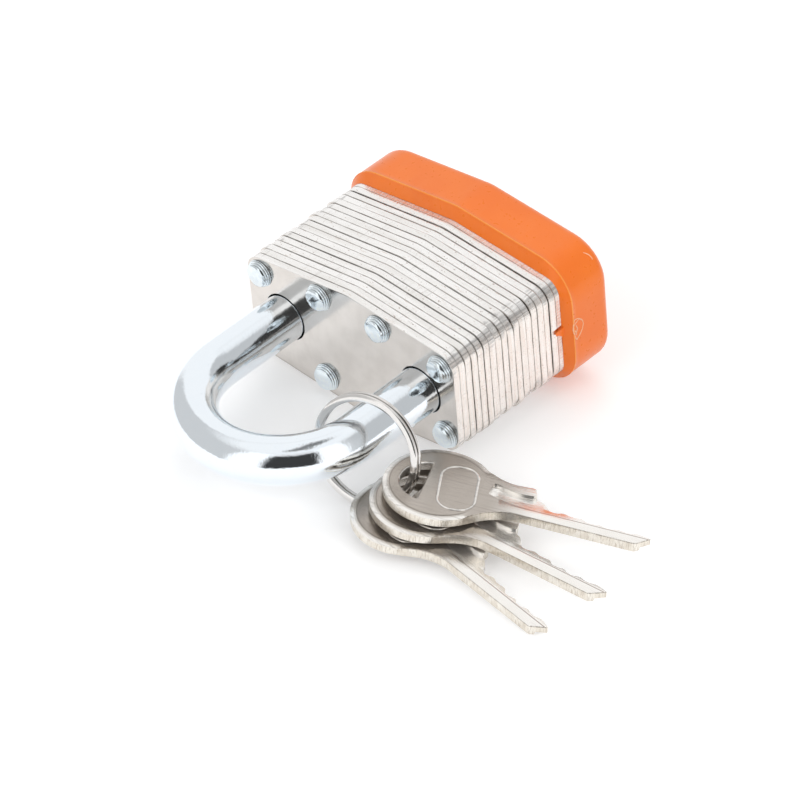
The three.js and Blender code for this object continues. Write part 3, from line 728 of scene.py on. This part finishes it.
def makeShackle():
    legX, reach, radius = body["legX"], body["legReach"], body["legRadius"]
    toe, chamfer, heel, edge = (shackle[name] for name in ("toeDepth", "chamfer", "heelDepth", "heelEdge"))
    flat = legX - radius + shackle["notchDepth"]
    neckRadius = radius - shackle["notchDepth"]

    def bar(centre, outward, size=radius, limit=None):
        row = []
        for p in circleLoop(size, shackle["sides"]):
            x, y = centre[0] + p.x * outward[0], centre[1] + p.x * outward[1]
            if limit is not None:
                x = max(x, limit) if limit > 0 else min(x, limit)
            row.append((x, y, p.y))
        return row

    def leg(side, y, size=radius, limit=None):
        return bar((side * legX, y), (side, 0), size, limit)

    def notch(side):
        start, end = shackle["notch"]
        limit = side * flat
        return [leg(side, end), leg(side, end, limit=limit), leg(side, start, limit=limit), leg(side, start)]

    rows = [leg(1, toe, radius - chamfer - 0.3), leg(1, toe, radius - chamfer), leg(1, toe - chamfer)]
    rows += notch(1) + [leg(1, 1), leg(1, -reach * 0.5)]
    for step in range(shackle["bendSteps"] + 1):
        angle = pi * step / shackle["bendSteps"]
        outward = (cos(angle), -sin(angle))
        rows.append(bar((legX * outward[0], -reach + legX * outward[1]), outward))
    rows += [leg(-1, -reach * 0.5), leg(-1, 1)] + notch(-1)[::-1]
    start, end = shackle["neck"]
    rows += [leg(-1, start), leg(-1, start, neckRadius), leg(-1, end, neckRadius), leg(-1, end)]
    rows += [leg(-1, heel - edge), leg(-1, heel, radius - edge), leg(-1, heel, radius - 2 * edge)]
    form = Form()
    made = form.skin(rows)
    form.fan(made[0], (legX, toe, 0))
    form.fan(made[-1], (-legX, heel, 0))
    mesh = form.mesh("shackle")
    addPiece(mesh, [chromeMaterial()], ["shackle"], onBody="shackle")


# Split ring: two turns of flattened wire that step over where the ends meet
ring = {
    "radius": 7.9, "wire": (1.15, 0.7), "pitch": 0.8, "step": 16, "yaw": 11.6, "lean": -11.5, "join": 186,
    "turnSteps": 240, "sectionSteps": 24, "square": 0.88, "groove": (0.09, 0.2),
}


def ringMaterial():
    shader = newShader("ringSteel")
    drawn = shader.noise(3, 3)
    shader.base = shader.mix(drawn, (0.84, 0.82, 0.8), (0.72, 0.7, 0.68))
    # Painted shade along the groove between the two turns
    shader.tint(shader.axis("Y").line(*ring["groove"]) * 0.8, (0.16, 0.14, 0.12))
    return shader.metal(0.07 + drawn * 0.1, shader.bump(drawn, 0.012, 0.35))


def makeRing():
    step = radians(ring["step"])
    width, height = (size / 2 for size in ring["wire"])
    count = ring["turnSteps"]
    rows = []
    for index in range(count + 1):
        turned = step + index / count * (4 * pi - 2 * step)
        axial = ring["pitch"] * (step01(turned, 2 * pi - step, 2 * pi + step) - 0.5)
        angle = turned + radians(ring["join"])
        size = min(1, 0.9 + 0.05 * min(index, count - index))  # the cut ends are a little rounded
        row = []
        for side in range(ring["sectionSteps"]):
            turn = 2 * pi * side / ring["sectionSteps"]
            c, s = cos(turn), sin(turn)
            radius = ring["radius"] + copysign(abs(c) ** ring["square"], c) * width * size
            up = copysign(abs(s) ** ring["square"], s) * height * size
            row.append((radius * cos(angle), axial + up, radius * sin(angle)))
        rows.append(row)
    mesh = Form().solid(rows).mesh("split_ring")
    yaw, lean = radians(ring["yaw"]), radians(ring["lean"])
    place = placed(boxCentre("split_ring"), Matrix.Rotation(yaw, 3, "Z") @ Matrix.Rotation(lean, 3, "X"))
    addPiece(mesh, [ringMaterial()], ["split_ring"], 50, "ring", place)


# Keys: cut blanks with a coined rim, a bare panel and milled grooves
key = {
    "thickness": 1.5, "bow": 7.8, "spineTurn": 50, "lugTurn": 47, "bowSteps": 84, "neck": 3.7,
    "end": 30.3, "spine": -2.3, "tip": 1.9,
    "lug": (9.6, 12.5), "lugTop": 4.15, "shoulderTop": 2.2, "shoulderEnd": 14.4,
    "cuts": (0.35, 0.43, -0.29, -0.53, -0.3), "cutsStart": 16.25, "cutsPitch": 2.65, "cutFlat": 0.9,
    "cutRise": 0.57, "hole": (-1.29, 4.27, -2), "holeBevel": (0.18, 0.17), "edge": 0.07,
    "mill": {
        "depth": 0.46,
        "face": [
            (6.85, 0.5), (6.9, 1.3), (7.0, 2.2), (7.08, 2.95), (7.5, 3.05), (8.2, 2.85), (9.0, 2.55),
            (9.8, 2.32), (10.6, 2.2), (11.8, 2.2), (12.7, 2.3), (13.2, 2.6), (13.6, 3.4), (32.5, 3.4),
            (32.5, -0.75), (24, -0.75), (17, -0.76), (14.5, -0.85), (12.5, -0.8), (10.5, -0.6),
            (9.2, -0.35), (8.3, -0.1), (7.5, 0.15),
        ],
        "floor": [
            (6.93, 1.0), (6.98, 1.6), (7.08, 2.2), (7.15, 2.88), (7.52, 2.97), (8.22, 2.78), (9.02, 2.48),
            (9.82, 2.25), (10.6, 2.13), (11.8, 2.13), (12.72, 2.23), (13.25, 2.55), (13.66, 3.4),
            (32.5, 3.4), (32.5, 0.62), (24, 0.62), (17, 0.62), (14.5, 0.6), (12.5, 0.56), (10.5, 0.55),
            (9.2, 0.6), (8.3, 0.7), (7.5, 0.85),
        ],
    },
    "underMill": {"start": 9, "startLength": 0.55, "band": (-1.75, 0.5), "depth": 0.5, "side": 0.12},
    "rim": {
        "radius": 6.95, "reach": 1.8, "step": 0.05, "slope": 0.16, "from": 34, "to": 322, "fade": 12,
        "steps": 96,
    },
    "panel": {
        "centre": (2.7, -0.05), "size": (5.2, 9.5), "corner": 2.3, "turn": 9.5, "line": 0.42, "height": 0.13,
    },
}
keyZones = {
    "bow": (4, 6), "bevel": (6.9, 7.0), "bevelLine": (6.76, 6.84, 6.92, 7.0), "blade": (7, 15),
    "panel": (0.77, 0.84), "floor": (0.62, 0.7), "under": (-0.7, -0.6),
    "creaseY": -0.78, "crease": (0.05, 0.12), "creaseStart": (9.5, 11.5), "creaseTop": (0.5, 0.6),
    "arris": (0.54, 0.62, 0.68, 0.71),
}
keyHalf = key["thickness"] / 2
keyWires = {"key_lower": (-3.55, 1.1), "key_middle": (-3.69, 0.76), "key_upper": (-3.86, 0.57)}


def keyOutline():
    bow, spine, end, tip = (key[name] for name in ("bow", "spine", "end", "tip"))
    lower, upper = -radians(key["spineTurn"]), radians(key["lugTurn"])
    sweep = 2 * pi - (upper - lower)
    angles = [upper + sweep * step / key["bowSteps"] for step in range(key["bowSteps"] + 1)]
    points = [Vector((cos(angle), sin(angle))) * bow for angle in angles]
    points += curve(points[-1], Vector((bow, spine - 0.3)), Vector((bow + key["neck"], spine)), 14)[1:]
    blade = [(end - tip, spine), (end, spine + tip)]
    cuts, pitch, flat = key["cuts"], key["cutsPitch"], key["cutFlat"]
    for index in reversed(range(len(cuts))):
        middle, depth = key["cutsStart"] + index * pitch, cuts[index]
        crest = (depth + cuts[min(index + 1, len(cuts) - 1)]) / 2 + key["cutRise"]
        blade += [(middle + pitch / 2, crest), (middle + flat / 2, depth), (middle - flat / 2, depth)]
    (lugStart, lugEnd), lugTop, shoulder = key["lug"], key["lugTop"], key["shoulderTop"]
    blade += [
        (key["shoulderEnd"], shoulder - 0.2), (lugEnd + 0.9, shoulder + 0.1),
        (lugEnd + 0.3, lugTop - 0.1), (lugStart + 0.4, lugTop - 0.35),
    ]
    points += [Vector(point) for point in blade]
    return points + curve(points[-1], Vector((bow - 0.4, lugTop - 0.2)), points[0], 12)[1:-1]


def toolPiece(name, form):
    return addObject(name, form.mesh(name))


def prism(name, outline, levels):
    # Levels are pairs of inset and height
    rows = [[(p.x, p.y, z) for p in offsetLoop(outline, -inset)] for inset, z in levels]
    return toolPiece(name, Form().solid(rows))


def combined(base, tools):
    # Applies each tool by a boolean and removes it; new faces take the first material
    for tool, operation in tools:
        change = base.modifiers.new("cut", "BOOLEAN")
        change.operation = operation
        change.solver = "EXACT"
        change.material_mode = "INDEX"
        change.object = tool
    bpy.context.view_layer.update()
    shaped = bpy.data.meshes.new_from_object(base.evaluated_get(bpy.context.evaluated_depsgraph_get()))
    for piece in [base] + [tool for tool, _ in tools]:
        bpy.data.objects.remove(piece)
    # The booleans leave slivers, which are merged away
    bm = bmesh.new()
    bm.from_mesh(shaped)
    bmesh.ops.remove_doubles(bm, verts=bm.verts, dist=1e-6)
    bmesh.ops.triangulate(bm, faces=bm.faces, quad_method="BEAUTY", ngon_method="BEAUTY")
    bmesh.ops.dissolve_degenerate(bm, dist=1e-6, edges=bm.edges)
    bm.to_mesh(shaped)
    bm.free()
    return shaped


def millTool():
    # The blade's groove: steep above and at its start, a wide slope below
    mill = key["mill"]
    levels = [(mill["floor"], keyHalf - mill["depth"]), (mill["face"], keyHalf + 0.002)]
    levels.append((mill["face"], keyHalf + 0.5))
    return toolPiece("keyMill", Form().solid([[(x, y, z) for x, y in outline] for outline, z in levels]))


def underMillTool():
    # The groove in the key's back, with sloping sides and a round start
    mill = key["underMill"]
    low, high = mill["band"]
    radius, middle = (high - low) / 2, (high + low) / 2
    outline = []
    for step in range(17):
        angle = pi / 2 + pi * step / 16
        x = mill["start"] + radius * mill["startLength"] * cos(angle)
        outline.append(Vector((x, middle + radius * sin(angle))))
    end = key["end"] + 2
    outline += [Vector((end, low)), Vector((end, high))]
    levels = [(mill["side"], mill["depth"] - keyHalf), (0, -keyHalf - 0.001), (0, -keyHalf - 0.4)]
    return prism("keyUnderMill", outline, levels)


def rimTool(face):
    # Takes a shallow bevel off the bow's edge, fading out at the neck
    rim = key["rim"]
    near, far = rim["radius"], rim["radius"] + rim["reach"]
    clear = 0.01
    rows = []
    for step in range(rim["steps"] + 1):
        degrees = rim["from"] + (rim["to"] - rim["from"]) * step / rim["steps"]
        share = step01(min(degrees - rim["from"], rim["to"] - degrees), 0, rim["fade"])
        inner = keyHalf + clear - share * (rim["step"] + clear)
        outer = inner - share * rim["slope"] * rim["reach"]
        c, s = cos(radians(degrees)), sin(radians(degrees))
        section = ((near, keyHalf + 0.4), (near, inner), (far, outer), (far, keyHalf + 0.4))
        rows.append([(r * c, r * s, face * z) for r, z in section])
    return toolPiece("keyRim", Form().solid(rows))


def panelTool():
    # A fine raised line round a bare panel
    panel = key["panel"]
    x, y = (size / 2 for size in panel["size"])
    corner = (panel["corner"], 10, 8)
    flat = roundedLoop([(x, -y, *corner), (x, y, *corner), (-x, y, *corner), (-x, -y, *corner)])
    turn = Matrix.Rotation(radians(panel["turn"]), 2)
    loop = [turn @ point + Vector(panel["centre"]) for point in flat]
    line, height = panel["line"] / 2, panel["height"]
    section = [(line, -0.1), (line, 0), (line * 0.65, height * 0.7), (line * 0.25, height)]
    section += [(-out, z) for out, z in reversed(section)]
    rows = [[(p.x, p.y, keyHalf + z) for p in offsetLoop(loop, out)] for out, z in section]
    form = Form()
    form.skin(rows + [rows[0]])
    return toolPiece("keyPanel", form)


def keyMesh():
    rounded = quarter(key["edge"], 3)
    levels = [(inset, -keyHalf + depth) for inset, depth in rounded]
    levels += [(inset, keyHalf - depth) for inset, depth in rounded[::-1]]
    blank = prism("keyBlank", softened(keyOutline(), 0.35, 3), levels)
    for face in blank.data.polygons:
        face.material_index = 1 if abs(face.normal.z) < 0.6 else 0
    centre, radius, chord = key["hole"]
    chordHalf = acos((chord - centre) / radius)
    angles = [chordHalf + (2 * pi - 2 * chordHalf) * step / 48 for step in range(49)]
    hole = softened([Vector((centre + radius * cos(a), radius * sin(a))) for a in angles], 0.3, 3)
    out, down = key["holeBevel"]
    levels = [(-out, keyHalf + 0.5), (-out, keyHalf + 0.001), (0, keyHalf - down)]
    levels += [(inset, -z) for inset, z in levels[::-1]]
    cutters = [prism("keyHole", hole, levels), millTool(), underMillTool(), rimTool(1), rimTool(-1)]
    return combined(blank, [(tool, "DIFFERENCE") for tool in cutters] + [(panelTool(), "UNION")])


def keyMaterial():
    # Dull on the bow, bright on the milled blade, in the groove and on the bow's bevel; a painted highlight
    # on the panel's raised line, and painted shade at the bevel's inner edge and along the groove's lower
    # edge
    shader = newShader("nickelKey")
    lines = shader.noise(7, 3, (0.05, 1, 1))
    marks = shader.noise(2.5, 3, (0.1, 1.4, 1))
    blotch = shader.noise(0.35, 3)
    x, y, z = (shader.axis(name) for name in "XYZ")
    radius = (x * x + y * y) ** 0.5
    zones = keyZones
    bow = 1 - x.between(*zones["bow"])
    bevel = radius.between(*zones["bevel"]) * bow
    blade = x.between(*zones["blade"])
    bright = blade
    # The panel's raised line takes the bright tone: a painted highlight
    for area in (bevel * 0.3, z.between(*zones["panel"]) * 0.8, z.line(*zones["floor"])):
        bright = shader.math("MAXIMUM", bright, area)
    dull = shader.mix(blotch, (0.52, 0.475, 0.43), (0.45, 0.405, 0.36))
    milled = shader.mix(blotch, (0.95, 0.925, 0.89), (0.88, 0.85, 0.81))
    shader.base = shader.mix(bright, dull, milled)
    brushed = shader.noise(3.2, 3, (0.03, 1, 1)).between(0.5, 0.66) * (1 - blade)
    shader.tint(brushed * 0.35, (0.34, 0.3, 0.26))
    # Painted shade at the inner edge of the bow's bevel, where it steps down
    shader.tint(radius.band(*zones["bevelLine"]) * bow * 0.55, (0.2, 0.175, 0.15))
    # Painted shade along the groove's lower edge on the blade
    crease = (y - zones["creaseY"]).line(*zones["crease"]) * x.between(*zones["creaseStart"])
    shader.tint(crease * z.between(*zones["creaseTop"]) * 0.7, (0.3, 0.22, 0.18))
    shader.tint(marks.between(0.55, 0.8) * 0.2, (0.5, 0.46, 0.42))
    metallic = 0.9 - (1 - z.between(*zones["under"])) * 0.4
    return shader.metal(0.11 + marks * 0.1, shader.bump(lines, 0.03, 0.8), metallic)


def keyEdgeMaterial():
    # Ground across the thickness, with painted shade along the arris just below the face
    shader = newShader("nickelKeyEdge")
    ground = shader.noise(4.4, 3, (1, 1, 0.16), 0.65)
    shader.twoTone(shader.noise(0.7, 3), 0.35, 0.65, (0.88, 0.84, 0.77), (0.79, 0.735, 0.65))
    shader.tint(ground.between(0.47, 0.65) * 0.5, (0.42, 0.345, 0.265))
    # Painted shade along the arris
    arris = shader.axis("Z").band(*keyZones["arris"])
    shader.tint(arris * (0.35 + ground.between(0.4, 0.55) * 0.5), (0.2, 0.165, 0.13))
    return shader.metal(0.18 + ground * 0.15, shader.bump(ground, 0.04, 0.7), 0.9)


def makeKeys():
    mesh = keyMesh()
    nickel = (keyMaterial(), keyEdgeMaterial())
    for name, wire in keyWires.items():
        joint = joints[name + "_swing"]
        axis = Vector(joint["axis"])
        dip, yaw = acos(axis.z), atan2(axis.y, axis.x)
        turn = Matrix.Rotation(yaw, 3, "Z") @ Matrix.Rotation(dip, 3, "Y")
        origin = Vector(joint["pos_m"]) - turn @ Vector((*wire, 0)) * mm
        addPiece(mesh, nickel, [name], 30, name, placed(origin, turn))


# Plug face: a turned brass disc with the keyway's wards, over the end of the plug
plugFace = {
    "radius": 4.9, "thickness": 0.3, "seat": 0.08, "edge": 0.16, "keywayEdge": 0.06, "sides": 96, "lathe": 18,
    "keyway": [
        (-0.75, -3.8), (0.04, -3.8), (0.04, -2.77), (0.75, -2.53), (0.75, -1.37), (0.35, -1.07),
        (0.35, -0.04), (0.75, 0.26), (0.75, 1.48), (0.48, 1.9), (-0.35, 1.9), (-0.35, 0.81),
        (-0.75, 0.44), (-0.75, -0.71), (-0.31, -0.95), (-0.31, -2.04), (-0.75, -2.34),
    ],
}


def plugFaceMaterial():
    shader = newShader("turnedBrass")
    x, z = shader.axis("X") - body["plugX"], shader.axis("Z")
    turned = shader.math("SINE", (x * x + z * z) ** 0.5 * plugFace["lathe"])
    wear = shader.noise(0.7, 4)
    scratches = shader.noise(1.6, 4, (0.3, 1, 1.6), 0.65).between(0.56, 0.64)
    shader.twoTone(wear, 0.3, 0.7, (0.8, 0.6, 0.3), (0.68, 0.48, 0.21))
    shader.tint(scratches * 0.4, (0.42, 0.3, 0.14))
    return shader.metal(0.2 + wear * 0.15, shader.bump(turned * 0.1 + scratches * -0.2, 0.03, 0.5))


def makePlugFace():
    front = body["stackEnd"] - plugFace["seat"]
    back = front + plugFace["thickness"]
    edge, soft = plugFace["edge"], plugFace["keywayEdge"]
    rim = circleLoop(plugFace["radius"], plugFace["sides"], body["plugX"])
    keyway = softened([Vector((x + body["plugX"], z)) for x, z in plugFace["keyway"]], 0.12, 3)
    section = [(-0.3, front), (0, front)]
    section += [(-inset, back - depth) for inset, depth in quarter(edge, 4)[::-1]] + [(-edge - 0.2, back)]
    form = Form()
    outside = form.skin(profiled(rim, section))
    section = [(0, front), (0, back - soft), (soft * 0.3, back - soft * 0.3), (soft, back)]
    walls = form.skin(profiled(keyway, section))
    for end in (0, -1):
        form.fill(outside[end], walls[end])
    addPiece(form.mesh("plug_face"), [plugFaceMaterial()], sharp=40, onBody="plug")


# The pieces inside keep their CAD shapes and get their own finishes: two tones and a roughness
inside = {
    "cylinder_brass": ((0.58, 0.41, 0.16), (0.44, 0.29, 0.1), 0.28),
    "spring_steel": ((0.6, 0.6, 0.6), (0.45, 0.45, 0.46), 0.22),
    "hardened_steel": ((0.3, 0.31, 0.32), (0.2, 0.2, 0.21), 0.38),
}


def insideMaterial(name, light, dark, roughness):
    shader = newShader(name)
    wear = shader.noise(1.3, 4)
    shader.twoTone(wear, 0.3, 0.7, light, dark)
    return shader.metal(roughness + wear * 0.15, shader.bump(shader.noise(8, 2), 0.01, 0.4))


def insideFinish(name):
    if "spring" in name or "clip" in name:
        return "spring_steel"
    return "hardened_steel" if "dog" in name or "cam" in name or "driver" in name else "cylinder_brass"


def finishInside():
    materials = {name: insideMaterial(name, *looks) for name, looks in inside.items()}
    for name, piece in frame["nodes"].items():
        if not piece.hide_render:
            for slot in piece.material_slots:
                slot.material = materials[insideFinish(name)]


# Floor, light, and the tent whose walls the metal reflects
studio = {
    "floor": 0.9, "lift": 0.24, "ambient": 0.72, "floorSize": 1000, "floorGap": 0.00002,
    # Each lamp: name, azimuth and height in degrees, distance, size, power
    "lamps": [
        ("frontSoftbox", -2, 35, 1.2, 0.9, 3.4),
        ("sideSoftbox", 83, 30, 1.2, 0.9, 3.2),
        ("backSoftbox", 215, 55, 1.2, 0.7, 1.6),
    ],
    "tentRadius": 3.0, "tentStep": 1.5, "wall": 0.66, "brightest": 1.25,
    # Each card: range of azimuth and of height in degrees, brightness, softness
    "cards": [
        ((-190, 190), (54, 64), 0.85, 4),
        ((-190, 190), (61, 95), 1.0, 4),
        ((-195, -105), (-5, 60), 1.0, 3),
        ((172, 195), (-5, 60), 1.0, 3),
        ((-14, 18), (-5, 60), 1.18, 2.5),
        ((19, 68), (-5, 52), 0.05, 2),
        ((69, 98), (-5, 62), 1.18, 2.5),
        ((108, 172), (-5, 55), 0.58, 4),
        ((20, 195), (79, 95), 0.22, 3),
        ((-195, -140), (79, 95), 0.3, 3),
        ((18, 72), (72, 81), 0.22, 3),
    ],
}
black, white = (0, 0, 0), (1, 1, 1)


def direction(azimuth, height):
    # Azimuth 0 faces -Y and 90 faces +X
    a, e = radians(azimuth), radians(height)
    return Vector((sin(a) * cos(e), -cos(a) * cos(e), sin(e)))


def seenDirectly(shader):
    kinds = ("Camera", "Glossy", "Transmission")
    rays = [shader.node("LightPath", output=f"Is {kind} Ray") for kind in kinds]
    return shader.math("MINIMUM", rays[0] + rays[1] + rays[2], 1)


def tentBrightness(azimuth, height):
    tone = studio["wall"]
    for (left, right), (low, high), brightness, soft in studio["cards"]:
        inside = min(
            step01(azimuth, left - soft, left + soft), 1 - step01(azimuth, right - soft, right + soft),
            step01(height, low - soft, low + soft), 1 - step01(height, high - soft, high + soft),
        )
        tone += (brightness - tone) * inside
    return tone


def makeTent():
    radius, step = studio["tentRadius"] / mm, studio["tentStep"]
    azimuths = [-180 + step * i for i in range(241)]
    heights = [-2 + step * i for i in range(62)]
    form = Form()
    form.skin([[direction(a, e) * radius for a in azimuths] for e in heights], closed=False)
    mesh = form.mesh("tent", merge=0)
    glow = mesh.attributes.new("glow", "FLOAT", "POINT")
    glow.data.foreach_set("value", [tentBrightness(a, e) for e in heights for a in azimuths])
    shader = newShader("tentWall")
    tone = shader.node("Attribute", {"attribute_name": "glow"}, output="Fac")
    brightest = studio["brightest"]
    mesh.materials.append(shader.surface({
        "Base Color": (*black, 1), "Specular IOR Level": 0.0, "Emission Strength": brightest,
        "Emission Color": shader.mix(tone * (1 / brightest), black, white),
    }))
    tent = addObject("tent", mesh)
    tent.location = boxCentre("front_lamination")
    tent.visible_camera = tent.visible_diffuse = tent.visible_shadow = False


def makeFloor():
    shader = newShader("paleFloor")
    tone, lift, size = studio["floor"], studio["lift"], studio["floorSize"]
    shader.base = shader.mix(shader.noise(0.02, 2), (tone,) * 3, (tone * 0.995, tone * 0.995, tone))
    form = Form()
    rows = [[(x, y, 0) for x in (-size, -size / 2, 0, size / 2, size)] for y in (-size, 0, size)]
    form.skin(rows, closed=False)
    mesh = form.mesh("floor")
    mesh.materials.append(shader.surface({
        "Roughness": 0.9, "Specular IOR Level": 0.0, "Emission Strength": 1.0,
        "Emission Color": shader.mix(seenDirectly(shader), black, (lift,) * 3),
    }))
    floor = addObject("floor", mesh)
    floor.location.z = cadBounds[0][2] - studio["floorGap"]


def makeLight():
    world = bpy.data.worlds.new("studioWorld")
    bpy.context.scene.world = world
    world.use_nodes = True
    shader = Shader(world.node_tree)
    strength = studio["ambient"] + seenDirectly(shader) * (1 - studio["ambient"])
    sky = shader.node("Background", None, {"Color": (*white, 1), "Strength": strength})
    shader.node("OutputWorld", None, {"Surface": sky})
    target = boxCentre("front_lamination")
    for name, azimuth, height, distance, size, power in studio["lamps"]:
        light = bpy.data.lights.new(name, "AREA")
        light.shape, light.size, light.energy = "DISK", size, power
        holder = addObject(name, light)
        holder.location = target + direction(azimuth, height) * distance
        holder.rotation_euler = (target - holder.location).to_track_quat("-Z", "Y").to_euler()
        holder.visible_glossy = False


# Camera: offset from the front plate's centre, and the directions of its right and down sides
view = {
    "offset": (0.40782, -0.41138, 0.4075), "lens": 225.9, "sensor": 36, "clip": (0.01, 20),
    "right": (0.7254, 0.6882, -0.0157), "down": (0.3924, -0.4321, -0.8119),
}


def makeCamera():
    lens = bpy.data.cameras.new("camera")
    lens.lens = view["lens"]
    lens.sensor_width = view["sensor"]
    lens.clip_start, lens.clip_end = view["clip"]
    camera = addObject("camera", lens)
    right = Vector(view["right"]).normalized()
    back = right.cross(-Vector(view["down"])).normalized()
    turn = Matrix((right, back.cross(right), back)).transposed()
    camera.matrix_world = placed(boxCentre("front_lamination") + Vector(view["offset"]), turn)
    bpy.context.scene.camera = camera
    bpy.context.scene.view_settings.view_transform = "Standard"


for make in (
    makePlates, makeRivets, makeBumper, makeFlash, makeShackle, makeRing, makeKeys, makePlugFace,
    finishInside, makeLight, makeFloor, makeTent, makeCamera,
):
    make()
    print(make.__name__, "done")
